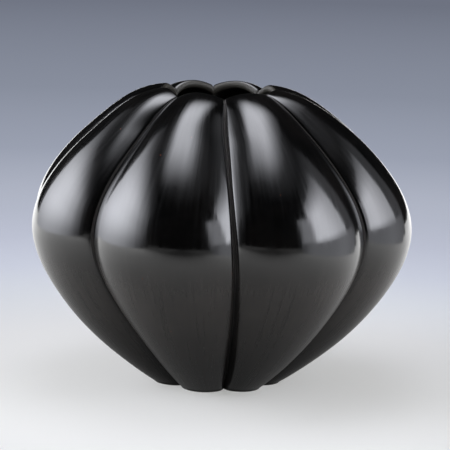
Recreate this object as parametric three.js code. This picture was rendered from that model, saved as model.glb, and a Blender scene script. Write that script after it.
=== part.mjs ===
import * as THREE from "three";
import { NURBSCurve } from "three/addons/curves/NURBSCurve.js";

// Overall sizes in millimetres
const bowlHeight = 148;
const widestRadius = 96.3;
const footRadius = 33;
const mouthRadius = 29;

// The mouth was drawn in a little to the left of the middle
const mouthShift = 2.2;
const mouthShiftStartShare = 0.75;

// The clay wall
const wallThickness = 5.5;
const lipThickness = 4;
const floorThickness = 7;
const footEdgeHeight = 0.8;
const seamBacking = 1;

// The cut seams between lobes, and how far each one notches the lip
const seamDepthAtFoot = 3;
const seamDepthAtBelly = 2.6;
const seamDepthAtShoulder = 1.6;
const seamDepthAtLip = 0.7;
const seamHalfWidthAtFoot = 1.8;
const seamHalfWidthAtBelly = 1.45;
const seamHalfWidthAtShoulder = 0.8;
const seamHalfWidthAtLip = 0.6;
const lipNotchDepth = 3.6;
const lipNotchShares = [0.8, 0.4, 0.5, 1.1, 0.8, 1, 0.6, 1];

// Eight lobes. Angles run from the front (-Y) towards +X. The hand-cut seams stand a
// little off even spacing, lean a little between lip and foot, and some turn at the lip.
const lobeCount = 8;
const frontSeamDegrees = 5;
const seamOffsetDegrees = [0, 3.6, -0.5, 0, 2, 3, -3.5, -4.2];
const seamLeanDegrees = [10, 3, 0, -1, 1, 0, 0, 6];
const seamLipTurnDegrees = [5, 0, 0, -5, 0, 0, 0, 4];
const seamLipTurnStartShare = 0.8;

// Upright outlines as control points of smooth curves, from foot to lip.
// Swell is the share of the way from the foot or mouth radius to the widest radius.
// Seam radii are shares of the crest radius beside them.
const heightShares = [0, 0.044, 0.142, 0.3, 0.537, 0.747, 0.912, 0.99, 1];
const lowerSwellShares = [0, 0.158, 0.455, 0.796, 1.098];
const upperSwellShares = [0.861, 0.458, 0.188, 0];
const seamRadiusShares = [0.8, 0.79, 0.745, 0.842, 0.906, 0.857, 0.758, 0.83, 1.017];
const notchReachShares = [0, 0, 0, 0, 0, 0, 0.12, 0.83, 1];

// Shares that set the small round forms
const footFlatShare = 0.93;
const seamEdgeRoundShare = 0.35;
const lipThinningShare = 0.3;
const floorStartShare = 0.13;
const floorRingShares = [0.82, 0.58, 0.3];
const tangentStepShare = 0.002;

// Facets: rows up the wall, round the lip and inside, and columns over half a lobe
const outerRows = 30;
const lipRows = 5;
const innerRows = 13;
const seamColumnShares = [2, 1.15, 0.75];
const bodyColumnShares = [0.25, 0.5, 0.75];

const burnishedClay = new THREE.MeshStandardMaterial({
  color: 0x101011,
  roughness: 0.18,
  metalness: 0,
});

function crestRadii() {
  const lower = lowerSwellShares.map((share) =>
    THREE.MathUtils.lerp(footRadius, widestRadius, share),
  );
  const upper = upperSwellShares.map((share) =>
    THREE.MathUtils.lerp(mouthRadius, widestRadius, share),
  );
  return [...lower, ...upper];
}

function seamRadii() {
  return crestRadii().map((radius, i) => radius * seamRadiusShares[i]);
}

// A smooth upright curve from foot to lip, lowered at the lip by a notch
function outlineCurve(radii, notchDepth) {
  const degree = 3;
  const spans = radii.length - degree;
  const knots = [];
  for (let i = 0; i < radii.length + degree + 1; i++) {
    knots.push(THREE.MathUtils.clamp((i - degree) / spans, 0, 1));
  }
  const points = radii.map((radius, i) => {
    const level = THREE.MathUtils.lerp(footEdgeHeight, bowlHeight, heightShares[i]);
    return new THREE.Vector4(radius, level - notchDepth * notchReachShares[i], 0, 1);
  });
  return new NURBSCurve(degree, knots, points);
}

const crestCurve = outlineCurve(crestRadii(), 0);
const seamCurves = lipNotchShares.map((share) =>
  outlineCurve(seamRadii(), lipNotchDepth * share),
);

// A point of an outline: x is its radius and y is its height
function outlinePoint(curve, along) {
  const point = curve.getPoint(THREE.MathUtils.clamp(along, 0, 1));
  return new THREE.Vector2(point.x, point.y);
}

function outlineTangent(curve, along) {
  const low = outlinePoint(curve, along - tangentStepShare);
  const high = outlinePoint(curve, along + tangentStepShare);
  return high.sub(low).normalize();
}

// The direction out of the wall, square to the outline
function outlineNormal(curve, along) {
  const tangent = outlineTangent(curve, along);
  return new THREE.Vector2(tangent.y, -tangent.x);
}

// A size that changes smoothly up the wall between its four stated values
function alongWall(sizes, along) {
  const place = THREE.MathUtils.clamp(along, 0, 1) * (sizes.length - 1);
  const index = Math.min(Math.floor(place), sizes.length - 2);
  const share = THREE.MathUtils.smoothstep(place - index, 0, 1);
  return THREE.MathUtils.lerp(sizes[index], sizes[index + 1], share);
}

function seamDepth(along) {
  const sizes = [
    seamDepthAtFoot,
    seamDepthAtBelly,
    seamDepthAtShoulder,
    seamDepthAtLip,
  ];
  return alongWall(sizes, along);
}

function seamHalfWidth(along) {
  const sizes = [
    seamHalfWidthAtFoot,
    seamHalfWidthAtBelly,
    seamHalfWidthAtShoulder,
    seamHalfWidthAtLip,
  ];
  return alongWall(sizes, along);
}

function wallAt(along) {
  const thinning = THREE.MathUtils.smoothstep(along, 1 - lipThinningShare, 1);
  return THREE.MathUtils.lerp(wallThickness, lipThickness, thinning);
}

// Depth of the V cut at a distance from its middle, with a softly rounded edge
function seamCut(along, distance) {
  const halfWidth = seamHalfWidth(along);
  const soft = halfWidth * seamEdgeRoundShare;
  const hinge = (gap) => gap + Math.hypot(gap, soft);
  return (seamDepth(along) * hinge(halfWidth - distance)) / hinge(halfWidth);
}

// Each lobe is a round arch: 0 at the seams on its two sides and 1 on its crest
function archShare(across) {
  return 1 - across * across;
}

// The outline of the seam on this side of the lobe's crest
function nearSeam(lobe, across) {
  const seam = across < 0 ? lobe : lobe + 1;
  return seamCurves[seam % seamCurves.length];
}

function blended(measure, lobe, across, along) {
  const seam = measure(nearSeam(lobe, across), along);
  return seam.lerp(measure(crestCurve, along), archShare(across));
}

function outerPoint(lobe, across, along, distance) {
  const body = blended(outlinePoint, lobe, across, along);
  const normal = blended(outlineNormal, lobe, across, along).normalize();
  return body.addScaledVector(normal, -seamCut(along, distance));
}

function innerPoint(lobe, across, along) {
  const body = blended(outlinePoint, lobe, across, along);
  const normal = blended(outlineNormal, lobe, across, along).normalize();
  const backing = (1 - archShare(across)) * seamBacking;
  return body.addScaledVector(normal, -wallAt(along) - backing);
}

// The lip is a half round from the outer edge of the wall to the inner edge
function lipPoint(lobe, across, distance, turn) {
  const outer = outerPoint(lobe, across, 1, distance);
  const middle = innerPoint(lobe, across, 1).lerp(outer, 1 / 2);
  const half = outer.sub(middle);
  const onwards = blended(outlineTangent, lobe, across, 1).setLength(half.length());
  return middle
    .addScaledVector(half, Math.cos(turn))
    .addScaledVector(onwards, Math.sin(turn));
}

// Inside, the wall runs out into a floor that is lowest in the middle
function floorPoint(lobe, across, share) {
  const edge = innerPoint(lobe, across, floorStartShare);
  const level = THREE.MathUtils.lerp(floorThickness, edge.y, share * share);
  return new THREE.Vector2(edge.x * share, level);
}

function undersidePoint(lobe, across, distance) {
  const edge = outerPoint(lobe, across, 0, distance);
  return new THREE.Vector2(edge.x * footFlatShare, 0);
}

function seamAngle(seam, along) {
  const hand = seam % lobeCount;
  const even = frontSeamDegrees + (360 / lobeCount) * seam;
  const lean = seamLeanDegrees[hand] * (1 / 2 - along);
  const nearLip = THREE.MathUtils.smoothstep(along, seamLipTurnStartShare, 1);
  const turn = seamLipTurnDegrees[hand] * nearLip;
  return THREE.MathUtils.degToRad(even + seamOffsetDegrees[hand] + lean + turn);
}

// Places across a lobe from -1 to 1, close together at the seams
function columnsAcross(seamShare) {
  const edge = 1 - seamShare * seamColumnShares[0];
  const body = bodyColumnShares.map((share) => share * edge);
  const cut = seamColumnShares.map((share) => 1 - seamShare * share);
  const right = [...body, ...cut];
  const left = right.map((place) => -place).reverse();
  return [-1, ...left, 0, ...right];
}

// One ring of points round the bowl, where shape gives each radius and height
function ring(along, shape) {
  const nearMouth = THREE.MathUtils.smoothstep(along, mouthShiftStartShare, 1);
  const points = [];
  for (let lobe = 0; lobe < lobeCount; lobe++) {
    const start = seamAngle(lobe, along);
    const end = seamAngle(lobe + 1, along);
    const radius = outlinePoint(seamCurves[lobe], along).x;
    const halfArc = (radius * (end - start)) / 2;
    for (const across of columnsAcross(seamHalfWidth(along) / halfArc)) {
      const angle = THREE.MathUtils.lerp(start, end, (across + 1) / 2);
      const place = shape(lobe, across, (1 - Math.abs(across)) * halfArc);
      const x = place.x * Math.sin(angle) - mouthShift * nearMouth;
      const y = -place.x * Math.cos(angle);
      points.push(new THREE.Vector3(x, y, place.y));
    }
  }
  return points;
}

function outerRings() {
  const rings = [ring(0, undersidePoint)];
  for (let row = 0; row <= outerRows; row++) {
    const along = row / outerRows;
    const shape = (lobe, across, distance) => outerPoint(lobe, across, along, distance);
    rings.push(ring(along, shape));
  }
  return rings;
}

function lipRings() {
  const rings = [];
  for (let row = 1; row < lipRows; row++) {
    const turn = (Math.PI * row) / lipRows;
    const shape = (lobe, across, distance) => lipPoint(lobe, across, distance, turn);
    rings.push(ring(1, shape));
  }
  return rings;
}

function innerRings() {
  const rings = [];
  for (let row = 0; row <= innerRows; row++) {
    const along = THREE.MathUtils.lerp(1, floorStartShare, row / innerRows);
    const shape = (lobe, across) => innerPoint(lobe, across, along);
    rings.push(ring(along, shape));
  }
  for (const share of floorRingShares) {
    const shape = (lobe, across) => floorPoint(lobe, across, share);
    rings.push(ring(floorStartShare, shape));
  }
  return rings;
}

// One closed skin over the rings, with a fan of facets at each end
function closedShell(rings, firstCentre, lastCentre) {
  const points = [firstCentre, ...rings.flat(), lastCentre];
  const count = rings[0].length;
  const end = points.length - 1;
  const indices = [];
  for (let i = 0; i < count; i++) {
    const next = (i + 1) % count;
    indices.push(0, 1 + next, 1 + i);
    for (let row = 1; row < rings.length; row++) {
      const low = 1 + (row - 1) * count;
      const high = low + count;
      indices.push(low + i, low + next, high + next);
      indices.push(low + i, high + next, high + i);
    }
    indices.push(end - count + i, end - count + next, end);
  }
  const geometry = new THREE.BufferGeometry().setFromPoints(points);
  geometry.setIndex(indices);
  return geometry;
}

// The lobes differ a little, so the bowl is moved until its outline is centred
function centreOverOrigin(geometry) {
  geometry.computeBoundingBox();
  const middle = geometry.boundingBox.getCenter(new THREE.Vector3());
  geometry.translate(-middle.x, -middle.y, 0);
  geometry.computeVertexNormals();
  return geometry;
}

function bowlBody() {
  const rings = [...outerRings(), ...lipRings(), ...innerRings()];
  const underside = new THREE.Vector3(0, 0, 0);
  const floor = new THREE.Vector3(0, 0, floorThickness);
  const geometry = centreOverOrigin(closedShell(rings, underside, floor));
  const body = new THREE.Mesh(geometry, burnishedClay);
  body.name = "bowl_body";
  return body;
}

const melonBowl = new THREE.Group();
melonBowl.name = "melon_bowl";
melonBowl.add(bowlBody());

export default melonBowl;
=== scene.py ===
"""Melon bowl: the finish of a lobed black clay bowl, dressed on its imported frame."""

import logging
import math
from collections.abc import Callable
from dataclasses import dataclass
from enum import Enum
from typing import Any

import bmesh
import bpy
from mathutils import Matrix, Vector


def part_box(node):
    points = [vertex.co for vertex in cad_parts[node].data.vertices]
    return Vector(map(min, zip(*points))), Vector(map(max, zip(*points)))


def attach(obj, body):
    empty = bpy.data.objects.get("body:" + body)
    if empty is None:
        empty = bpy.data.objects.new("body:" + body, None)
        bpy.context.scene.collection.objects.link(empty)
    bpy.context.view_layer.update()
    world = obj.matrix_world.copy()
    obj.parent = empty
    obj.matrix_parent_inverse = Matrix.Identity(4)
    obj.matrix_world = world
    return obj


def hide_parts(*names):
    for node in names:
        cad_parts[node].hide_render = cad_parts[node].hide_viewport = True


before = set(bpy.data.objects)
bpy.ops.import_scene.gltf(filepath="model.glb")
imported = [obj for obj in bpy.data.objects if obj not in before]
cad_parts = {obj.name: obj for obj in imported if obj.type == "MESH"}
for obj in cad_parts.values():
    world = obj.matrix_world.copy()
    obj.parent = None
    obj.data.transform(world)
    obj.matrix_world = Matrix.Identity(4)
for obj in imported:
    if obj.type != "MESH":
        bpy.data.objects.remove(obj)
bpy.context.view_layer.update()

LOG = logging.getLogger("melon_bowl")
MM = 0.001
MATH = "ShaderNodeMath"
VECTOR = "ShaderNodeVectorMath"
MIX = "ShaderNodeMix"
RANGE = "ShaderNodeMapRange"
SPLIT = "ShaderNodeSeparateXYZ"
JOIN = "ShaderNodeCombineXYZ"
EASED = {"interpolation_type": "SMOOTHSTEP"}
LAMP_TINT = "#eff1f9"


def add(tree: bpy.types.NodeTree, kind: str, inputs: dict | list | tuple = (),
        out: int | str = 0, **settings: Any) -> bpy.types.NodeSocket | None:
    """Add one node with its settings and its links.

    Args:
        tree: The node tree that the node goes into.
        kind: Blender's name for the kind of node.
        inputs: Values, or outputs that feed the inputs, in order or by number or name.
        out: The output to give back, by number or name.
        settings: The node's own settings.

    Returns:
        The chosen output of the new node, or None from a node that ends its tree.
    """
    made = tree.nodes.new(kind)
    for name, value in settings.items():
        setattr(made, name, value)
    for key, value in inputs.items() if isinstance(inputs, dict) else enumerate(inputs):
        if isinstance(value, bpy.types.NodeSocket):
            tree.links.new(value, made.inputs[key])
        else:
            made.inputs[key].default_value = value
    return made.outputs[out] if made.outputs else None


def work_out(tree: bpy.types.NodeTree, known: dict[str, Any], *steps: tuple,
             kind: str = MATH) -> None:
    """Add a run of arithmetic nodes, each fed by what is known before it.

    Args:
        tree: The node tree that the nodes go into.
        known: Sockets by name, to which each result is added.
        steps: For each node its result's name, its operation and its inputs, each a name in
            known or a value.
        kind: Blender's name for the kind of node.
    """
    for name, operation, *inputs in steps:
        fed = [known[i] if isinstance(i, str) else i for i in inputs]
        known[name] = add(tree, kind, fed, operation=operation)


def blank(made: bpy.types.ID) -> bpy.types.NodeTree:
    """Empty the node tree of a new material or world.

    Args:
        made: The material or the world.

    Returns:
        Its empty tree.
    """
    made.use_nodes = True
    made.node_tree.nodes.clear()
    return made.node_tree


def placed(data: bpy.types.ID) -> bpy.types.Object:
    """Put a mesh or a camera into the scene as an object at the origin.

    Args:
        data: The mesh or the camera, whose name the object takes.

    Returns:
        The object.
    """
    made = bpy.data.objects.new(data.name, data)
    bpy.context.scene.collection.objects.link(made)
    return made


def linear(code: str) -> tuple[float, float, float, float]:
    """Turn an sRGB hex colour into linear light.

    Args:
        code: The colour, as a hash and six hex digits.

    Returns:
        Its red, green and blue, and an alpha of 1.
    """
    parts = [int(code[i:i + 2], 16) / 255 for i in (1, 3, 5)]
    turned = [p / 12.92 if p <= 0.04045 else ((p + 0.055) / 1.055) ** 2.4 for p in parts]
    return (*turned, 1.0)


def smooth(value: float) -> float:
    """Ease a share from 0 to 1 with level ends."""
    value = min(max(value, 0.0), 1.0)
    return value * value * (3 - 2 * value)


@dataclass(frozen=True)
class BurnishedClay:
    """Low-fired clay, rubbed smooth with a pebble and smoked black.

    Rubbing lays the clay flat, so it mirrors softly like polished stone. The strokes run from
    foot to lip and leave faint streaks, and below the widest part the rubbing is lighter, which
    shows a brown cast; towards the foot that brown is held back as painted shade. The pebble
    does not reach into the cut seams or the mouth, which stay dull and a little paler above;
    towards the foot the seams are painted darker, as painted shade where they face down.
    """

    black: str = "#030303"
    brown: str = "#292522"
    rust: str = "#6a3a28"
    bare_inside: str = "#2f2d27"
    bare_seam: str = "#33302e"
    # Painted shade: the seams' near-black colour low down, where they face down and lie in
    # shade.
    shaded_seam_colour: str = "#12100f"
    ior: float = 1.5
    roughness: float = 0.14
    streak_roughness: float = 0.12
    foot_roughness: float = 0.16
    bare_roughness: float = 0.62
    stroke_width_mm: float = 1.8
    stroke_length_mm: float = 42.0
    stroke_depth_mm: float = 0.012
    streak_from: tuple[float, float] = (0.3, 0.7)
    band_width_mm: float = 6.0
    band_length_mm: float = 55.0
    band_weight: float = 4.0
    cloud_size_mm: float = 26.0
    cloud_weight: float = 0.8
    patch_from: tuple[float, float] = (0.45, 0.75)
    patch_brownness: float = 0.08
    worn_from: tuple[float, float] = (0.4, 1.3)
    speck_spacing_mm: float = 7.0
    speck_radius_mm: float = 0.35
    speck_core: float = 0.4
    speckless_share: float = 0.8
    burnish_height_mm: float = 84.0
    scoured_height_mm: float = 56.0
    scoured_flatness: float = 0.8
    # Painted shade: below this height the brown cast gives way to near black, darkest at the
    # foot.
    shaded_foot_height_mm: float = 58.8
    shaded_foot_brownness: float = 0.08
    seam_from: tuple[float, float] = (0.18, 0.45)
    mouth_from: tuple[float, float] = (0.05, 0.45)

    def noise(self, tree: bpy.types.NodeTree, place: bpy.types.NodeSocket,
              width: float, length: float) -> bpy.types.NodeSocket:
        """Give a noise that is stretched along the strokes.

        Args:
            tree: The tree being built.
            place: The distance round the bowl and up the wall, in metres.
            width: The width of one mark, in millimetres.
            length: The length of one mark, in millimetres.

        Returns:
            The noise, about 0.5 on average.
        """
        scaled = add(tree, "ShaderNodeMapping", {
            "Vector": place, "Scale": (1 / (width * MM), 1 / (length * MM), 1)})
        return add(tree, "ShaderNodeTexNoise", {
            "Vector": scaled, "Scale": 1.0, "Detail": 3.0, "Roughness": 0.55})

    def material(self) -> bpy.types.Material:
        """Make the clay's node material.

        Returns:
            The material, ready for the bowl.
        """
        clay = bpy.data.materials.new("burnished_smoked_clay")
        tree = blank(clay)
        place = add(tree, "ShaderNodeTexCoord", out="Object")
        strokes, inside, groove = (
            add(tree, "ShaderNodeAttribute", attribute_name=name, out=out)
            for name, out in (("stroke_place", "Vector"), ("inside", "Fac"), ("groove", "Fac")))
        streak = self.noise(tree, strokes, self.stroke_width_mm, self.stroke_length_mm)
        band = self.noise(tree, strokes, self.band_width_mm, self.band_length_mm)
        height = add(tree, SPLIT, (place,), out=2)
        low = add(tree, RANGE, (height, self.burnish_height_mm * MM,
                                self.scoured_height_mm * MM), **EASED)
        cloud = add(tree, "ShaderNodeTexNoise", {
            "Vector": place, "Scale": 1 / (self.cloud_size_mm * MM), "Detail": 4.0,
            "Roughness": 0.6})
        patch = add(tree, RANGE, (cloud, *self.patch_from, 0.0, self.patch_brownness))
        mottled = add(tree, MATH, (cloud, self.cloud_weight, streak), operation="MULTIPLY_ADD")
        worn = add(tree, RANGE, (mottled, *self.worn_from))
        # Painted shade: the brown cast is held back towards the foot, so the clay darkens where
        # it stands in shadow.
        unshaded_share = add(tree, RANGE, (height, 0.0, self.shaded_foot_height_mm * MM, self.shaded_foot_brownness),
                       **EASED)
        worn_and_shaded = add(tree, MATH, (worn, unshaded_share), operation="MULTIPLY")
        cast = add(tree, MATH, (low, worn_and_shaded), operation="MULTIPLY")
        brownness_and_shade = add(tree, MATH, (cast, patch), operation="MAXIMUM")
        cells = add(tree, "ShaderNodeTexVoronoi", {
            "Vector": place, "Scale": 1 / (self.speck_spacing_mm * MM)}, out="Distance")
        chance = add(tree, SPLIT, (cells.node.outputs["Color"],))
        picked = add(tree, MATH, (chance, self.speckless_share), operation="GREATER_THAN")
        edge = self.speck_radius_mm / self.speck_spacing_mm
        speck = add(tree, RANGE, (cells, edge, self.speck_core * edge))
        chip = add(tree, MATH, (speck, picked), operation="MULTIPLY")
        in_seam = add(tree, RANGE, (groove, *self.seam_from), **EASED)
        in_mouth = add(tree, RANGE, (inside, *self.mouth_from), **EASED)
        # Painted shade: below the widest part the seams turn from their bare tone to near black,
        # where they face down and lie in shade.
        bare_seam = add(tree, MIX, {0: low, 6: linear(self.bare_seam),
                                    7: linear(self.shaded_seam_colour)}, out=2, data_type="RGBA")
        colour = linear(self.black)
        for share, layer in ((brownness_and_shade, linear(self.brown)), (chip, linear(self.rust)),
                             (in_seam, bare_seam), (in_mouth, linear(self.bare_inside))):
            colour = add(tree, MIX, {0: share, 6: colour, 7: layer}, out=2, data_type="RGBA")
        half = self.streak_roughness / 2
        rubbed = add(tree, RANGE, (streak, *self.streak_from, self.roughness - half,
                                   self.roughness + half))
        outside = add(tree, MATH, (low, self.foot_roughness, rubbed), operation="MULTIPLY_ADD")
        bare = add(tree, MATH, (in_seam, in_mouth), operation="MAXIMUM")
        rougher = add(tree, MIX, {0: bare, 2: outside, 3: self.bare_roughness})
        relief = add(tree, MATH, (band, self.band_weight, streak), operation="MULTIPLY_ADD")
        firm = add(tree, MATH, (low, -self.scoured_flatness, 1.0), operation="MULTIPLY_ADD")
        normal = add(tree, "ShaderNodeBump", {
            "Strength": firm, "Distance": self.stroke_depth_mm * MM, "Height": relief})
        shader = add(tree, "ShaderNodeBsdfPrincipled", {
            "Base Color": colour, "Roughness": rougher, "IOR": self.ior, "Normal": normal})
        add(tree, "ShaderNodeOutputMaterial", (shader,))
        return clay


class Zone(Enum):
    """The stretches of the shell's section, in order from below to the middle inside."""

    UNDERSIDE = "underside"
    FOOT = "foot"
    OUTSIDE = "outside"
    LIP = "lip"
    INSIDE = "inside"
    FLOOR = "floor"


@dataclass
class SectionRow:
    """One ring of the shell: its stretch, its place on the wall, its turn and its drawing in."""

    zone: Zone
    along: float
    over_lip: float = 0.0
    share: float = 1.0
    base: float = 0.0
    lift: float = 1.0

    @property
    def turn(self) -> float:
        """Give how far the face has turned, from 0 outside to a half turn inside."""
        return math.pi if self.zone in (Zone.INSIDE, Zone.FLOOR) else self.over_lip


@dataclass
class LobedBowl:
    """The one-piece bowl: eight lobes parted by cut seams, with a notched lip.

    The sizes are those of the frame's solid, in millimetres and degrees, so the dressed bowl
    lies on it. Shares run from the foot, or from the middle of a face, to its end.
    """

    height: float = 148.0
    widest_radius: float = 96.3
    foot_radius: float = 33.0
    mouth_radius: float = 29.0
    wall: float = 5.5
    lip: float = 4.0
    floor: float = 7.0
    foot_edge: float = 0.8
    seam_backing: float = 1.0
    notch_depth: float = 3.6
    mouth_shift: float = 2.2
    mouth_shift_start: float = 0.75
    seam_depths: tuple[float, ...] = (3.0, 2.6, 1.6, 0.7)
    seam_half_widths: tuple[float, ...] = (1.8, 1.45, 0.8, 0.6)
    notch_shares: tuple[float, ...] = (0.8, 0.4, 0.5, 1.1, 0.8, 1.0, 0.6, 1.0)
    seam_offsets: tuple[float, ...] = (0.0, 3.6, -0.5, 0.0, 2.0, 3.0, -3.5, -4.2)
    seam_leans: tuple[float, ...] = (10.0, 3.0, 0.0, -1.0, 1.0, 0.0, 0.0, 6.0)
    seam_lip_turns: tuple[float, ...] = (5.0, 0.0, 0.0, -5.0, 0.0, 0.0, 0.0, 4.0)
    lip_turn_start: float = 0.8
    front_seam: float = 5.0
    height_shares: tuple[float, ...] = (0, 0.044, 0.142, 0.3, 0.537, 0.747, 0.912, 0.99, 1)
    lower_swell: tuple[float, ...] = (0, 0.158, 0.455, 0.796, 1.098)
    upper_swell: tuple[float, ...] = (0.861, 0.458, 0.188, 0)
    seam_shares: tuple[float, ...] = (0.8, 0.79, 0.745, 0.842, 0.906, 0.857, 0.758, 0.83, 1.017)
    reach_shares: tuple[float, ...] = (0, 0, 0, 0, 0, 0, 0.12, 0.83, 1)
    foot_flat: float = 0.93
    edge_round: float = 0.35
    thinning_start: float = 0.7
    floor_start: float = 0.13
    unevenness: float = 0.12
    wave_size: float = 24.0
    wave_heights: tuple[float, float] = (1.0, 12.0)
    seed: int = 7
    columns_per_lobe: int = 56
    column_crowding: float = 1.7
    underside_rows: tuple[float, ...] = (0.0, 0.25, 0.5, 0.75, 0.92, 1.0)
    foot_rows: int = 5
    outside_rows: int = 90
    lip_rows: int = 12
    inside_rows: int = 34
    floor_rows: tuple[float, ...] = (0.93, 0.84, 0.72, 0.58, 0.44, 0.3, 0.15, 0.0)
    slope_step: float = 0.002
    merge_distance: float = 0.002

    def spline(self, values: list[float] | tuple[float, ...], along: float) -> float:
        """Give a clamped, even cubic B-spline's value at a share of its length.

        Args:
            values: One value for each control point.
            along: The share of the way from the first to the last.

        Returns:
            The smooth value there.
        """
        degree, count = 3, len(values)
        spans = count - degree
        knots = [min(max((i - degree) / spans, 0.0), 1.0) for i in range(count + degree + 1)]
        along = min(max(along, 0.0), 1.0)
        span = min(degree + int(along * spans), count - 1)
        work = [values[span - degree + j] for j in range(degree + 1)]
        for level in range(1, degree + 1):
            for j in range(degree, level - 1, -1):
                low, high = knots[j + span - degree], knots[j + 1 + span - level]
                share = (along - low) / (high - low) if high > low else 0.0
                work[j] = (1 - share) * work[j - 1] + share * work[j]
        return work[degree]

    def slope(self, curve: Callable[[float], float], along: float) -> float:
        """Give how fast a curve's value grows at a place on the wall.

        Args:
            curve: A function of the share of the way from foot to lip.
            along: The share at which the slope is wanted.

        Returns:
            The growth for each whole share.
        """
        low, high = max(along - self.slope_step, 0.0), min(along + self.slope_step, 1.0)
        return (curve(high) - curve(low)) / (high - low)

    def crest_radii(self) -> list[float]:
        """Work out the crest outline's radii at its control points.

        Returns:
            The radii from foot to mouth, in millimetres.
        """
        wide = self.widest_radius
        lower = [self.foot_radius + s * (wide - self.foot_radius) for s in self.lower_swell]
        upper = [self.mouth_radius + s * (wide - self.mouth_radius) for s in self.upper_swell]
        return lower + upper

    def crest(self, along: float) -> float:
        """Give the crest outline's radius in metres."""
        return self.spline(self.crest_radii(), along) * MM

    def seam(self, along: float) -> float:
        """Give the seam outline's radius in metres."""
        radii = [r * share for r, share in zip(self.crest_radii(), self.seam_shares)]
        return self.spline(radii, along) * MM

    def level(self, along: float) -> float:
        """Give both outlines' height in metres."""
        rise = self.height - self.foot_edge
        return self.spline([self.foot_edge + rise * s for s in self.height_shares], along) * MM

    def reach(self, along: float) -> float:
        """Give the share of a lip notch's depth by which the seam is lowered."""
        return self.spline(self.reach_shares, along)

    def sized(self, sizes: tuple[float, ...], along: float) -> float:
        """Ease a size up the wall through its stated values.

        Args:
            sizes: The size at even steps from foot to lip.
            along: The share of the way from foot to lip.

        Returns:
            The size there, as a share of the second one, which the tree's input holds.
        """
        place = min(max(along, 0.0), 1.0) * (len(sizes) - 1)
        index = min(int(place), len(sizes) - 2)
        size = sizes[index] + (sizes[index + 1] - sizes[index]) * smooth(place - index)
        return size / sizes[1]

    def eased_in(self, along: float, start: float) -> float:
        """Give a share that grows from 0 at the start to 1 at the lip."""
        return smooth((along - start) / (1 - start))

    def section(self) -> list[SectionRow]:
        """List the shell's rings, from the middle of the underside to the floor inside.

        Returns:
            The rows in order.
        """
        rows = [SectionRow(Zone.UNDERSIDE, 0.0, share=self.foot_flat * s, lift=0.0)
                for s in self.underside_rows]
        for step in range(1, self.foot_rows):
            bend = math.pi / 2 * step / self.foot_rows
            share = self.foot_flat + (1 - self.foot_flat) * math.sin(bend)
            rows.append(SectionRow(Zone.FOOT, 0.0, share=share, lift=1 - math.cos(bend)))
        rows += [SectionRow(Zone.OUTSIDE, i / self.outside_rows)
                 for i in range(self.outside_rows + 1)]
        rows += [SectionRow(Zone.LIP, 1.0, over_lip=math.pi * i / self.lip_rows)
                 for i in range(1, self.lip_rows)]
        rows += [SectionRow(Zone.INSIDE, 1 + (self.floor_start - 1) * i / self.inside_rows)
                 for i in range(self.inside_rows + 1)]
        rows += [SectionRow(Zone.FLOOR, self.floor_start, share=s, base=self.floor * MM,
                            lift=s * s) for s in self.floor_rows]
        return rows

    def rails(self) -> bpy.types.Object:
        """Make the object that carries the section: one point for each ring of the shell.

        Returns:
            The object, with the sizes of each ring as point attributes.
        """
        rows = self.section()
        alongs = [row.along for row in rows]
        points = [(self.crest(a), 0.0, self.level(a)) for a in alongs]
        mesh = bpy.data.meshes.new("section_rails")
        mesh.from_pydata(points, [], [])
        level_slopes = [self.slope(self.level, a) for a in alongs]
        for name, radius in (("crest", self.crest), ("seam", self.seam)):
            here = [(radius(a), point[2]) for a, point in zip(alongs, points)]
            way = [(self.slope(radius, a), rise) for a, rise in zip(alongs, level_slopes)]
            for suffix, pairs in (("", here), ("_way", way)):
                data = mesh.attributes.new(name + suffix, "FLOAT_VECTOR", "POINT").data
                for item, (out, up) in zip(data, pairs):
                    item.vector = (out, 0.0, up)
        lengths = [0.0]
        for last, point in zip(points, points[1:]):
            lengths.append(lengths[-1] + math.dist(last, point))
        floats = {name: [getattr(row, name) for row in rows]
                  for name in ("along", "turn", "share", "base", "lift")}
        floats |= {
            "reach": [self.reach(a) for a in alongs],
            "reach_way": [self.slope(self.reach, a) for a in alongs],
            "cut_depth": [self.sized(self.seam_depths, a) for a in alongs],
            "cut_width": [self.sized(self.seam_half_widths, a) for a in alongs],
            "thickness": [1 + (self.lip / self.wall - 1) * self.eased_in(a, self.thinning_start)
                          for a in alongs],
            "length": lengths,
            "near_mouth": [self.eased_in(a, self.mouth_shift_start) for a in alongs],
            "near_lip": [self.eased_in(a, self.lip_turn_start) for a in alongs],
            "inside_row": [row.turn / math.pi for row in rows],
        }
        return self.marked(mesh, floats)

    def seam_marks(self) -> bpy.types.Object:
        """Make the object that carries the eight seams' own angles, leans and notches.

        Returns:
            The object, with one point for each seam.
        """
        mesh = bpy.data.meshes.new("seam_marks")
        mesh.from_pydata([(i * MM, 0, 0) for i in range(len(self.notch_shares))], [], [])
        angles = {"offset": self.seam_offsets, "lean": self.seam_leans,
                  "lip_turn": self.seam_lip_turns}
        marks = {name: [math.radians(a) for a in values] for name, values in angles.items()}
        return self.marked(mesh, marks | {"notch": self.notch_shares})

    def marked(self, mesh: bpy.types.Mesh, floats: dict[str, Any]) -> bpy.types.Object:
        """Give a mesh its point attributes and put it into the scene.

        Args:
            mesh: The helper's mesh.
            floats: For each attribute one number for each point.

        Returns:
            The helper as an object.
        """
        for name, values in floats.items():
            mesh.attributes.new(name, "FLOAT", "POINT").data.foreach_set("value", values)
        return placed(mesh)

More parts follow.
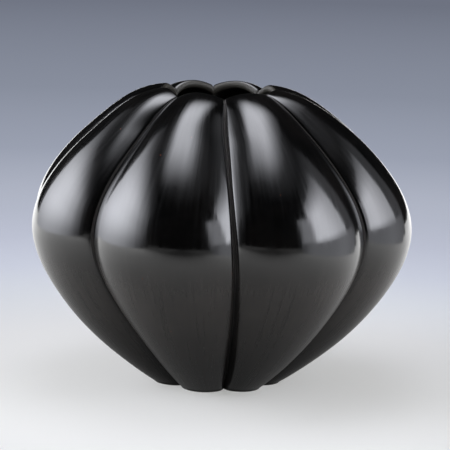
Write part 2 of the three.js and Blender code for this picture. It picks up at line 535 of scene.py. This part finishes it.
    def inputs(self, rails: bpy.types.Object, marks: bpy.types.Object,
               clay: bpy.types.Material) -> dict[str, Any]:
        """Give the values of the tree's named inputs.

        Args:
            rails: The object with the section's rings.
            marks: The object with the seams' own values.
            clay: The bowl's material.

        Returns:
            The values, with lengths in metres and angles in radians.
        """
        return {
            "Lobes": len(self.notch_shares),
            "Columns per lobe": self.columns_per_lobe,
            "Rows": len(rails.data.vertices),
            "Front seam": math.radians(self.front_seam),
            "Seam depth": self.seam_depths[1] * MM,
            "Seam half width": self.seam_half_widths[1] * MM,
            "Seam edge rounding": self.edge_round,
            "Seam backing": self.seam_backing * MM,
            "Lip notch": self.notch_depth * MM,
            "Mouth shift": self.mouth_shift * MM,
            "Wall": self.wall * MM,
            "Unevenness": self.unevenness * MM,
            "Seed": self.seed,
            "Seams": marks,
            "Clay": clay,
        }

    def tree(self, values: dict[str, Any], rails: bpy.types.Object) -> bpy.types.NodeTree:
        """Build the node tree that sweeps the section round the lobes.

        Args:
            values: The named inputs, as inputs() gives them.
            rails: The object with the section's rings.

        Returns:
            The finished tree.
        """
        tree = bpy.data.node_groups.new("lobed_shell", "GeometryNodeTree")
        kinds = {int: "Int", float: "Float", bpy.types.Object: "Object",
                 bpy.types.Material: "Material"}
        sockets = [("Section", "Geometry")]
        sockets += [(name, kinds[type(value)]) for name, value in values.items()]
        for name, kind in sockets:
            tree.interface.new_socket(name, in_out="INPUT", socket_type="NodeSocket" + kind)
        tree.interface.new_socket("Shell", in_out="OUTPUT", socket_type="NodeSocketGeometry")
        given = tree.nodes.new("NodeGroupInput").outputs
        known = {name: given[name] for name, _ in sockets}
        work_out(tree, known,
                 ("columns", "MULTIPLY", "Lobes", "Columns per lobe"),
                 ("lines", "ADD", "columns", 1.0))
        shell = add(tree, "GeometryNodeMeshGrid", {
            "Size X": 1.0, "Size Y": 1.0, "Vertices X": known["lines"],
            "Vertices Y": known["Rows"]})
        self.place_in_grid(tree, known)
        for field in rails.data.attributes:
            if field.domain == "POINT" and field.name != "position":
                known[field.name] = self.sampled(tree, known["Section"], field.name,
                                                 known["row"], field.data_type)
        self.place_on_shell(tree, known)
        for name, kind, value in (("inside", "FLOAT", "inside_row"),
                                  ("groove", "FLOAT", "groove"),
                                  ("stroke_place", "FLOAT_VECTOR", "stroke_place")):
            shell = add(tree, "GeometryNodeStoreNamedAttribute", {
                "Geometry": shell, "Name": name, "Value": known[value]}, data_type=kind,
                domain="POINT")
        for kind, inputs in (("SetPosition", {"Position": known["position"]}),
                             ("MergeByDistance", {"Distance": self.merge_distance * MM}),
                             ("SetPosition", {"Offset": self.hand_work(tree, known)}),
                             ("SetShadeSmooth", {}),
                             ("RealizeInstances", {}),
                             ("SetMaterial", {"Material": known["Clay"]})):
            shell = add(tree, "GeometryNode" + kind, {"Geometry": shell, **inputs})
        add(tree, "NodeGroupOutput", {"Shell": shell})
        return tree

    def sampled(self, tree: bpy.types.NodeTree, source: bpy.types.NodeSocket, name: str,
                index: bpy.types.NodeSocket, kind: str = "FLOAT") -> bpy.types.NodeSocket:
        """Read a helper mesh's point attribute.

        Args:
            tree: The tree being built.
            source: The helper's geometry.
            name: The attribute's name.
            index: The number of the point.
            kind: The attribute's kind of data.

        Returns:
            The value there.
        """
        value = add(tree, "GeometryNodeInputNamedAttribute", {"Name": name}, data_type=kind)
        return add(tree, "GeometryNodeSampleIndex", {
            "Geometry": source, "Value": value, "Index": index}, data_type=kind,
            domain="POINT")

    def place_in_grid(self, tree: bpy.types.NodeTree, known: dict[str, Any]) -> None:
        """Work out each grid point's row, its lobe and its place across the lobe.

        Args:
            tree: The tree being built.
            known: The fields by name, which gain row, lobe, across (-1 to 1), left, near (0 at
                a seam) and arch (1 on a crest).
        """
        position = add(tree, "GeometryNodeInputPosition")
        known["grid_x"] = add(tree, SPLIT, (position,))
        known["grid_y"] = add(tree, SPLIT, (position,), out=1)
        # The thousandth keeps a seam's own column in the lobe that it begins. The power draws
        # the columns together at the seams, where the cut needs them.
        work_out(tree, known,
                 ("from_left", "ADD", "grid_x", 0.5),
                 ("from_low", "ADD", "grid_y", 0.5),
                 ("column_place", "MULTIPLY", "from_left", "columns"),
                 ("column", "ROUND", "column_place"),
                 ("last_row", "SUBTRACT", "Rows", 1.0),
                 ("row_place", "MULTIPLY", "from_low", "last_row"),
                 ("row", "ROUND", "row_place"),
                 ("turns", "DIVIDE", "column", "Columns per lobe"),
                 ("safe", "ADD", "turns", 0.001),
                 ("lobe", "FLOOR", "safe"),
                 ("part", "SUBTRACT", "turns", "lobe"),
                 ("even", "MULTIPLY_ADD", "part", 2.0, -1.0),
                 ("size", "ABSOLUTE", "even"),
                 ("gap", "SUBTRACT", 1.0, "size"),
                 ("near", "POWER", "gap", self.column_crowding),
                 ("far", "SUBTRACT", 1.0, "near"),
                 ("left", "LESS_THAN", "even", 0.0),
                 ("sign", "MULTIPLY_ADD", "left", -2.0, 1.0),
                 ("across", "MULTIPLY", "far", "sign"),
                 ("square", "MULTIPLY", "across", "across"),
                 ("arch", "SUBTRACT", 1.0, "square"))

    def seam_fields(self, tree: bpy.types.NodeTree, known: dict[str, Any],
                    number: str) -> dict[str, bpy.types.NodeSocket]:
        """Read one seam's own values and work out its angle at each height.

        Args:
            tree: The tree being built.
            known: The fields by name.
            number: The name of the field that says which seam, counted on past the last one.

        Returns:
            The fields angle and notch, with the rest of what is known for this seam.
        """
        seam = dict(known)
        marks = add(tree, "GeometryNodeObjectInfo", {"Object": known["Seams"]}, out="Geometry")
        work_out(tree, seam, ("mark", "MODULO", number, "Lobes"))
        for name in ("offset", "lean", "lip_turn", "notch"):
            seam[name] = self.sampled(tree, marks, name, seam["mark"])
        work_out(tree, seam,
                 ("step", "DIVIDE", math.tau, "Lobes"),
                 ("even", "MULTIPLY_ADD", number, "step", "Front seam"),
                 ("shifted", "ADD", "even", "offset"),
                 ("upright", "SUBTRACT", 0.5, "along"),
                 ("leaned", "MULTIPLY_ADD", "lean", "upright", "shifted"),
                 ("angle", "MULTIPLY_ADD", "lip_turn", "near_lip", "leaned"))
        return seam

    def place_on_shell(self, tree: bpy.types.NodeTree, known: dict[str, Any]) -> None:
        """Turn each grid point into its place on the shell.

        Args:
            tree: The tree being built.
            known: The fields by name, which gain position, groove (1 in the middle of a cut)
                and stroke_place.
        """
        work_out(tree, known,
                 ("after", "ADD", "lobe", 1.0),
                 ("middle", "MULTIPLY_ADD", "across", 0.5, 0.5))
        start, end = (self.seam_fields(tree, known, name) for name in ("lobe", "after"))
        known["start"], known["end"] = start["angle"], end["angle"]
        known["angle"] = add(tree, MIX, {0: known["middle"], 2: start["angle"],
                                         3: end["angle"]})
        known["notch"] = add(tree, MIX, {0: known["left"], 2: end["notch"],
                                         3: start["notch"]})
        known["seam_radius"] = add(tree, SPLIT, (known["seam"],))
        # Each hinge is a ramp with a rounded foot, so the V cut runs softly into the lobes.
        work_out(tree, known,
                 ("dip", "MULTIPLY", "notch", "Lip notch"),
                 ("spread", "SUBTRACT", "end", "start"),
                 ("half", "MULTIPLY", "spread", 0.5),
                 ("half_arc", "MULTIPLY", "half", "seam_radius"),
                 ("distance", "MULTIPLY", "near", "half_arc"),
                 ("full", "MULTIPLY", "cut_width", "Seam half width"),
                 ("soft", "MULTIPLY", "full", "Seam edge rounding"),
                 ("softest", "MULTIPLY", "soft", "soft"),
                 ("inset", "SUBTRACT", "full", "distance"),
                 ("inset_square", "MULTIPLY_ADD", "inset", "inset", "softest"),
                 ("inset_root", "SQRT", "inset_square"),
                 ("inset_hinge", "ADD", "inset", "inset_root"),
                 ("full_square", "MULTIPLY_ADD", "full", "full", "softest"),
                 ("full_root", "SQRT", "full_square"),
                 ("full_hinge", "ADD", "full", "full_root"),
                 ("groove", "DIVIDE", "inset_hinge", "full_hinge"),
                 ("depth", "MULTIPLY", "cut_depth", "Seam depth"),
                 ("cut", "MULTIPLY", "groove", "depth"),
                 ("hollow", "SUBTRACT", 1.0, "arch"),
                 ("thick", "MULTIPLY", "thickness", "Wall"),
                 ("inner_depth", "MULTIPLY_ADD", "hollow", "Seam backing", "thick"),
                 ("seam_drop", "MULTIPLY", "dip", "reach"),
                 ("seam_way_drop", "MULTIPLY", "dip", "reach_way"),
                 ("cosine", "COSINE", "turn"),
                 ("sine", "SINE", "turn"))
        for name in ("seam", "seam_way"):
            known["down"] = add(tree, JOIN, {2: known[name + "_drop"]})
            work_out(tree, known, (name, "SUBTRACT", name, "down"), kind=VECTOR)
        work_out(tree, known,
                 ("seam_way", "NORMALIZE", "seam_way"),
                 ("crest_way", "NORMALIZE", "crest_way"), kind=VECTOR)
        for name, first, second in (("body", "seam", "crest"),
                                    ("bend", "seam_way", "crest_way")):
            known[name] = add(tree, MIX, {0: known["arch"], 4: known[first], 5: known[second]},
                              out=1, data_type="VECTOR")
        work_out(tree, known,
                 ("way", "NORMALIZE", "bend"),
                 ("out", "CROSS_PRODUCT", (0.0, 1.0, 0.0), "way"),
                 ("cut_in", "MULTIPLY", "out", "cut"),
                 ("outer", "SUBTRACT", "body", "cut_in"),
                 ("wall_in", "MULTIPLY", "out", "inner_depth"),
                 ("inner", "SUBTRACT", "body", "wall_in"), kind=VECTOR)
        known["core"] = add(tree, MIX, {0: 0.5, 4: known["outer"], 5: known["inner"]}, out=1,
                            data_type="VECTOR")
        work_out(tree, known, ("half_wall", "SUBTRACT", "outer", "core"), kind=VECTOR)
        known["half_thick"] = add(tree, VECTOR, (known["half_wall"],), out="Value",
                                  operation="LENGTH")
        work_out(tree, known, ("rise", "MULTIPLY", "sine", "half_thick"))
        work_out(tree, known,
                 ("to_side", "MULTIPLY", "half_wall", "cosine"),
                 ("onwards", "MULTIPLY", "way", "rise"),
                 ("edge", "ADD", "core", "to_side"),
                 ("point", "ADD", "edge", "onwards"), kind=VECTOR)
        known["from_axis"] = add(tree, SPLIT, (known["point"],))
        known["level"] = add(tree, SPLIT, (known["point"],), out=2)
        work_out(tree, known,
                 ("radius", "MULTIPLY", "from_axis", "share"),
                 ("over_base", "SUBTRACT", "level", "base"),
                 ("height", "MULTIPLY_ADD", "over_base", "lift", "base"),
                 ("round_x", "SINE", "angle"),
                 ("round_y", "COSINE", "angle"),
                 ("centred", "MULTIPLY", "radius", "round_x"),
                 ("aside", "MULTIPLY", "near_mouth", "Mouth shift"),
                 ("x", "SUBTRACT", "centred", "aside"),
                 ("front", "MULTIPLY", "radius", "round_y"),
                 ("y", "MULTIPLY", "front", -1.0),
                 ("arc", "MULTIPLY", "angle", self.widest_radius * MM))
        known["position"] = add(tree, JOIN, [known[name] for name in ("x", "y", "height")])
        known["stroke_place"] = add(tree, JOIN, (known["arc"], known["length"]))

    def hand_work(self, tree: bpy.types.NodeTree, known: dict[str, Any]
                  ) -> bpy.types.NodeSocket:
        """Give the small hollows that scraping and rubbing by hand leave, none at the foot.

        Args:
            tree: The tree being built.
            known: The fields by name.

        Returns:
            The offset of each point, always into the clay.
        """
        position = add(tree, "GeometryNodeInputPosition")
        wave = add(tree, "ShaderNodeTexNoise", {
            "Vector": position, "W": known["Seed"], "Scale": 1 / (self.wave_size * MM),
            "Detail": 1.0}, noise_dimensions="4D")
        level = add(tree, SPLIT, (position,), out=2)
        clear = add(tree, RANGE, (level, *(h * MM for h in self.wave_heights)), **EASED)
        amount = add(tree, MATH, (wave, known["Unevenness"]), operation="MULTIPLY")
        kept = add(tree, MATH, (amount, clear), operation="MULTIPLY")
        # The noise is about a half on average, so twice it is about one.
        inwards = add(tree, MATH, (kept, -2.0), operation="MULTIPLY")
        normal = add(tree, "GeometryNodeInputNormal")
        return add(tree, VECTOR, (normal, inwards), operation="MULTIPLY")

    def turn_outwards(self, mesh: bpy.types.Mesh) -> None:
        """Turn the shell's faces out of the clay if the sweep left them facing in.

        Args:
            mesh: The finished shell, changed in place.
        """
        work = bmesh.new()
        work.from_mesh(mesh)
        if work.calc_volume(signed=True) < 0:
            bmesh.ops.reverse_faces(work, faces=work.faces)
        LOG.info("shell volume %.0f mm3, open edges %d", work.calc_volume() / MM ** 3,
                 sum(not edge.is_manifold for edge in work.edges))
        work.to_mesh(mesh)
        work.free()

    def settle(self, mesh: bpy.types.Mesh) -> None:
        """Centre the shell on its frame node and keep it inside the node's box.

        Args:
            mesh: The finished shell, changed in place.
        """
        low, high = (Vector(corner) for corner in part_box("bowl_body"))
        lows = Vector([min(v.co[i] for v in mesh.vertices) for i in range(3)])
        highs = Vector([max(v.co[i] for v in mesh.vertices) for i in range(3)])
        fit = min([1.0] + [(high[i] - low[i]) / (highs[i] - lows[i]) for i in range(3)])
        middle, target = (lows + highs) / 2, (low + high) / 2
        shift = Matrix.Translation((target.x, target.y, low.z))
        back = Matrix.Translation((-middle.x, -middle.y, -lows.z))
        mesh.transform(shift @ Matrix.Scale(fit, 4) @ back)
        LOG.info("bowl moved by %.2f, %.2f mm and sized by %.5f", -middle.x / MM,
                 -middle.y / MM, fit)

    def build(self, clay: bpy.types.Material) -> bpy.types.Object:
        """Args:
            clay: The bowl's material.

        Returns:
            The dressed piece.
        """
        rails, marks = self.rails(), self.seam_marks()
        values = self.inputs(rails, marks, clay)
        modifier = rails.modifiers.new("lobed_shell", "NODES")
        modifier.node_group = self.tree(values, rails)
        for item in modifier.node_group.interface.items_tree:
            if item.in_out == "INPUT" and item.name in values:
                modifier[item.identifier] = values[item.name]
        graph = bpy.context.evaluated_depsgraph_get()
        mesh = bpy.data.meshes.new_from_object(rails.evaluated_get(graph))
        rails.modifiers.remove(modifier)
        for helper in (rails, marks):
            bpy.data.objects.remove(helper)
        mesh.name = "melon_bowl"
        self.turn_outwards(mesh)
        self.settle(mesh)
        bowl = placed(mesh)
        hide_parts("bowl_body")
        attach(bowl, "root")
        return bowl


@dataclass
class SoftBox:
    """A large flat lamp behind diffusing cloth.

    Its middle and its half widths to the right and up are in metres, as seen by someone whom it
    shines on. Each edge has the share of the panel over which it fades, and the level left at
    the edge itself. The lit share is how much of its strength lights dull surfaces, which are
    kept at the plain level at which a colour looks as it is written.
    """

    name: str
    middle: tuple[float, float, float]
    right: tuple[float, float, float]
    up: tuple[float, float, float]
    strength: float
    left_edge: tuple[float, float] = (0.1, 0.0)
    right_edge: tuple[float, float] = (0.1, 0.0)
    low_edge: tuple[float, float] = (0.1, 0.0)
    high_edge: tuple[float, float] = (0.1, 0.0)
    lit_share: float = 0.5

    def material(self) -> bpy.types.Material:
        """Make the glowing cloth, which fades towards the box's edges.

        Returns:
            The emission material.
        """
        cloth = bpy.data.materials.new(self.name)
        tree = blank(cloth)
        place = add(tree, "ShaderNodeUVMap", uv_map="UVMap")
        across, rise = (add(tree, SPLIT, (place,), out=axis) for axis in (0, 1))
        back = add(tree, "ShaderNodeNewGeometry", out="Backfacing")
        facing = add(tree, MATH, (back, -self.strength, self.strength),
                     operation="MULTIPLY_ADD")
        scattered = add(tree, "ShaderNodeLightPath", out="Is Diffuse Ray")
        share = add(tree, RANGE, (scattered, 0.0, 1.0, 1.0, self.lit_share))
        level = add(tree, MATH, (facing, share), operation="MULTIPLY")
        for value, edge, (fade, left) in ((across, 0.0, self.left_edge),
                                          (across, 1.0, self.right_edge),
                                          (rise, 0.0, self.low_edge),
                                          (rise, 1.0, self.high_edge)):
            full = edge - fade if edge else fade
            veil = add(tree, RANGE, (value, edge, full, left), **EASED)
            level = add(tree, MATH, (level, veil), operation="MULTIPLY")
        glow = add(tree, "ShaderNodeEmission", (linear(LAMP_TINT), level))
        add(tree, "ShaderNodeOutputMaterial", (glow,))
        return cloth

    def build(self) -> bpy.types.Object:
        """Stand the box at its place.

        Returns:
            The lamp's panel.
        """
        middle, right, up = (Vector(v) for v in (self.middle, self.right, self.up))
        corners = ((0, 0), (1, 0), (1, 1), (0, 1))
        mesh = bpy.data.meshes.new(self.name)
        mesh.from_pydata([middle + (2 * x - 1) * right + (2 * y - 1) * up for x, y in corners],
                         [], [(0, 1, 2, 3)])
        layer = mesh.uv_layers.new(name="UVMap")
        for item, corner in zip(layer.data, corners):
            item.uv = corner
        mesh.materials.append(self.material())
        panel = placed(mesh)
        panel.visible_camera = False
        return panel


@dataclass
class Studio:
    """The pale table, the soft lamps and the dark room round them, with sizes in metres."""

    table_rings: tuple[float, ...] = (0.4, 1.5, 5.9)
    room_radius: float = 6.0
    room_seam: float = 0.001
    room_step_degrees: int = 6
    # The tones paint the table's light: palest by the bowl, falling off into grey farther away.
    tones: tuple[tuple[float, str], ...] = (
        (0.1, "#f0f0ee"), (0.18, "#e8e8e8"), (0.27, "#dadde2"), (0.35, "#cdd1dc"),
        (0.45, "#c0c4d2"), (0.55, "#b5bac9"), (0.85, "#9aa0b0"), (1.28, "#888e9d"),
        (2.49, "#6e7381"))
    brightest_y: float = -0.06
    toned_from: tuple[float, float] = (0.36, 0.66)
    least_toned: float = 0.4
    middle_glow: float = 1.2
    side_glow: float = 1.6
    side_from: tuple[float, float] = (0.05, 0.5)
    front_slant: float = 0.35
    front_shade: tuple[float, float] = (-0.6, -0.2)
    least_front_glow: float = 0.2
    foot_shade: tuple[float, float] = (0.01, 0.25)
    least_foot_glow: float = 0.12
    ambient: float = 0.425
    ambient_tint: str = "#fbfcff"
    cloth: str = "#0a0a0a"
    overhead_from: tuple[float, float] = (4.85, 5.75)
    overhead_glow: float = 0.38
    boxes: tuple[SoftBox, ...] = (
        SoftBox("left_box", (-0.6, -0.075, 0.45), (0, 0.525, 0), (0, 0, 0.45), 12.8,
                left_edge=(0.5, 0.12), right_edge=(0.48, 0.38), low_edge=(0.37, 0.42),
                high_edge=(0.5, 0.12), lit_share=0.018),
        SoftBox("left_veil", (-0.75, -0.15, 0.7), (0, 0.75, 0), (0, 0, 0.7), 0.78,
                left_edge=(0.4, 0.2), right_edge=(0.05, 1.0), high_edge=(0.4, 0.3)),
        SoftBox("right_box", (0.35, -0.145, 0.31), (0, -0.165, 0), (0, 0, 0.19), 12.0,
                left_edge=(0.67, 0.45), right_edge=(0.12, 0.6), low_edge=(0.12, 0.5),
                high_edge=(0.45, 0.25), lit_share=0.037),
        SoftBox("right_apron", (0.36, -0.2, 0.07), (0, -0.33, 0), (0, 0, 0.07), 2.3,
                left_edge=(0.3, 0.4), right_edge=(0.3, 0.4), low_edge=(0.1, 0.9),
                high_edge=(0.1, 0.9), lit_share=0.05),
        SoftBox("right_veil", (0.55, -0.02, 0.5), (0, -0.32, 0), (0, 0, 0.5), 0.5,
                left_edge=(0.1, 0.6), right_edge=(0.1, 0.6), high_edge=(0.4, 0.3)),
        SoftBox("front_right_card", (0.86, -0.8, 0.5), (-0.2, -0.2, 0), (0, 0, 0.43), 3.6,
                left_edge=(0.02, 1.0), right_edge=(0.2, 0.5), low_edge=(0.3, 0.5),
                high_edge=(0.12, 0.6), lit_share=0.1),
        SoftBox("top_box", (0.01, 0.17, 1.0), (0.33, -0.085, 0), (-0.15, -0.6, 0), 9.8,
                left_edge=(0.28, 0.15), right_edge=(0.42, 0.12), low_edge=(0.55, 0.03),
                high_edge=(0.36, 0.08), lit_share=0.12),
    )

    def mirrored(self, tree: bpy.types.NodeTree) -> bpy.types.NodeSocket:
        """Tell the rays that come by way of a gloss or through glass from the others.

        Args:
            tree: The tree being built.

        Returns:
            1 on such a ray, and 0 on any other.
        """
        rays = [add(tree, "ShaderNodeLightPath", out=name)
                for name in ("Is Glossy Ray", "Is Transmission Ray")]
        return add(tree, MATH, rays, operation="MAXIMUM")

    def table_glow(self, tree: bpy.types.NodeTree, place: bpy.types.NodeSocket
                   ) -> bpy.types.NodeSocket:
        """Give the table's light as the gloss shows it: bright by the boxes, dark in front.

        Args:
            tree: The tree being built.
            place: The place on the table, in metres.

        Returns:
            The strength of the table's glow.
        """
        x, y = (add(tree, SPLIT, (place,), out=axis) for axis in (0, 1))
        aside = add(tree, MATH, (x,), operation="ABSOLUTE")
        by_box = add(tree, RANGE, (aside, *self.side_from, self.middle_glow,
                                   self.middle_glow + self.side_glow), **EASED)
        slanted = add(tree, MATH, (aside, self.front_slant, y), operation="MULTIPLY_ADD")
        front = add(tree, RANGE, (slanted, *self.front_shade, self.least_front_glow), **EASED)
        away = add(tree, VECTOR, (place,), out="Value", operation="LENGTH")
        under = add(tree, RANGE, (away, *self.foot_shade, self.least_foot_glow), **EASED)
        even = add(tree, MATH, (by_box, front), operation="MULTIPLY")
        return add(tree, MATH, (even, under), operation="MULTIPLY")

    def table_material(self) -> bpy.types.Material:
        """Make the paper table, with its light painted into its tones: pale under the bowl and
        falling off into grey behind it, where less light falls.

        Returns:
            The material.
        """
        paper = bpy.data.materials.new("pale_paper")
        tree = blank(paper)
        place = add(tree, "ShaderNodeTexCoord", out="Object")
        away = add(tree, VECTOR, (place, (0.0, self.brightest_y, 0.0)), out="Value",
                   operation="DISTANCE")
        low, high = self.tones[0][0], self.tones[-1][0]
        ramp = add(tree, "ShaderNodeValToRGB", (add(tree, RANGE, (away, low, high)),))
        stops = ramp.node.color_ramp.elements
        while len(stops) < len(self.tones):
            stops.new(0.5)
        for stop, (where, tone) in zip(stops, self.tones):
            stop.position = (where - low) / (high - low)
            stop.color = linear(tone)
        shader = add(tree, "ShaderNodeBsdfDiffuse", (ramp,))
        # Camera rays see part of the tones as glow, a painted light that also lifts the table's
        # shadow near the bowl.
        toned = add(tree, "ShaderNodeEmission", (ramp,))
        glow = add(tree, "ShaderNodeEmission", {"Strength": self.table_glow(tree, place)})
        eye = add(tree, "ShaderNodeLightPath", out="Is Camera Ray")
        far = add(tree, RANGE, (away, *self.toned_from, self.least_toned), **EASED)
        shown = add(tree, MATH, (far, eye), operation="MULTIPLY")
        for share, light in ((shown, toned), (self.mirrored(tree), glow)):
            shader = add(tree, "ShaderNodeMixShader", (share, shader, light))
        add(tree, "ShaderNodeOutputMaterial", (shader,))
        return paper

    def dark_cloth(self) -> bpy.types.Material:
        """Make the black cloth that gives the gloss its dark parts, a little lit overhead.

        Returns:
            The material, which the renderer does not count as a lamp.
        """
        cloth = bpy.data.materials.new("black_cloth")
        tree = blank(cloth)
        place = add(tree, "ShaderNodeTexCoord", out="Object")
        height = add(tree, SPLIT, (place,), out=2)
        glow = add(tree, RANGE, (height, *self.overhead_from, 0.0, self.overhead_glow), **EASED)
        shader = add(tree, "ShaderNodeBsdfPrincipled", {
            "Base Color": linear(self.cloth), "Roughness": 1.0,
            "Emission Color": linear(LAMP_TINT), "Emission Strength": glow})
        add(tree, "ShaderNodeOutputMaterial", (shader,))
        cloth.cycles.emission_sampling = "NONE"
        return cloth

    def disc(self, name: str, rings: list[tuple[float, float]], steps: int = 96
             ) -> bpy.types.Object:
        """Make a round sheet from the middle out.

        Args:
            name: The object's name.
            rings: Radius and height of each ring, from the inside out.
            steps: The number of sides.

        Returns:
            The object.
        """
        points = [(0.0, 0.0, rings[0][1])]
        for radius, level in rings:
            points += [(radius * math.cos(math.tau * i / steps),
                        radius * math.sin(math.tau * i / steps), level) for i in range(steps)]
        faces = [(0, 1 + i, 1 + (i + 1) % steps) for i in range(steps)]
        for row in range(len(rings) - 1):
            low = 1 + row * steps
            for i in range(steps):
                j = (i + 1) % steps
                faces.append((low + i, low + steps + i, low + steps + j, low + j))
        mesh = bpy.data.meshes.new(name)
        mesh.from_pydata(points, [], faces)
        return placed(mesh)

    def build(self) -> None:
        """Lay the table, hang the dark room, stand the lamps and tone the world."""
        table = self.disc("table", [(radius, 0.0) for radius in self.table_rings])
        table.data.materials.append(self.table_material())
        bends = [math.radians(a) for a in range(90, -1, -self.room_step_degrees)]
        room = self.disc("dark_room", [(self.room_radius * math.cos(a) + self.room_seam,
                                        self.room_radius * math.sin(a)) for a in bends])
        room.data.materials.append(self.dark_cloth())
        room.visible_camera = False
        room.visible_diffuse = False
        for box in self.boxes:
            LOG.info("lamp %s", box.build().name)
        self.world()

    def world(self) -> None:
        """Give what is beyond the table its far tone for eye and gloss, and a soft fill."""
        world = bpy.data.worlds.new("room_tone")
        bpy.context.scene.world = world
        tree = blank(world)
        tone = add(tree, "ShaderNodeBackground", (linear(self.tones[-1][1]), 1.0))
        fill = add(tree, "ShaderNodeBackground", (linear(self.ambient_tint), self.ambient))
        eye = add(tree, "ShaderNodeLightPath", out="Is Camera Ray")
        seen = add(tree, MATH, (eye, self.mirrored(tree)), operation="MAXIMUM")
        shader = add(tree, "ShaderNodeMixShader", (seen, fill, tone))
        add(tree, "ShaderNodeOutputWorld", (shader,))


@dataclass
class PhotoCamera:
    """The camera, from the fit of the bowl's outline to the photograph."""

    distance: float = 1.10681
    elevation: float = 10.51
    roll: float = 1.64
    target_height: float = 0.074
    focal_pixels: float = 2213.6
    centre_pixels: tuple[float, float] = (220.43, 233.41)
    frame_pixels: int = 450
    sensor_mm: float = 36.0

    def build(self) -> bpy.types.Object:
        """Make the camera and set it as the scene's.

        Returns:
            The camera object.
        """
        data = bpy.data.cameras.new("photo_camera")
        data.sensor_fit = "HORIZONTAL"
        data.sensor_width = self.sensor_mm
        data.lens = self.focal_pixels * self.sensor_mm / self.frame_pixels
        half = self.frame_pixels / 2
        data.shift_x = (half - self.centre_pixels[0]) / self.frame_pixels
        data.shift_y = (self.centre_pixels[1] - half) / self.frame_pixels
        rise = math.radians(self.elevation)
        place = Vector((0.0, -math.cos(rise), math.sin(rise))) * self.distance
        place.z += self.target_height
        tilt = Matrix.Rotation(math.pi / 2 - rise, 4, "X")
        roll = Matrix.Rotation(math.radians(self.roll), 4, "Z")
        camera = placed(data)
        camera.matrix_world = Matrix.Translation(place) @ tilt @ roll
        bpy.context.scene.camera = camera
        return camera


def main() -> None:
    """Build the camera, the studio and the bowl, and report the bowl, its one piece."""
    logging.basicConfig(level=logging.INFO, format="%(name)s: %(message)s")
    PhotoCamera().build()
    Studio().build()
    bowl = LobedBowl().build(BurnishedClay().material())
    LOG.info("%s: %d faces", bowl.name, len(bowl.data.polygons))
    bpy.context.scene.view_settings.view_transform = "Standard"


if __name__ == "__main__":
    main()
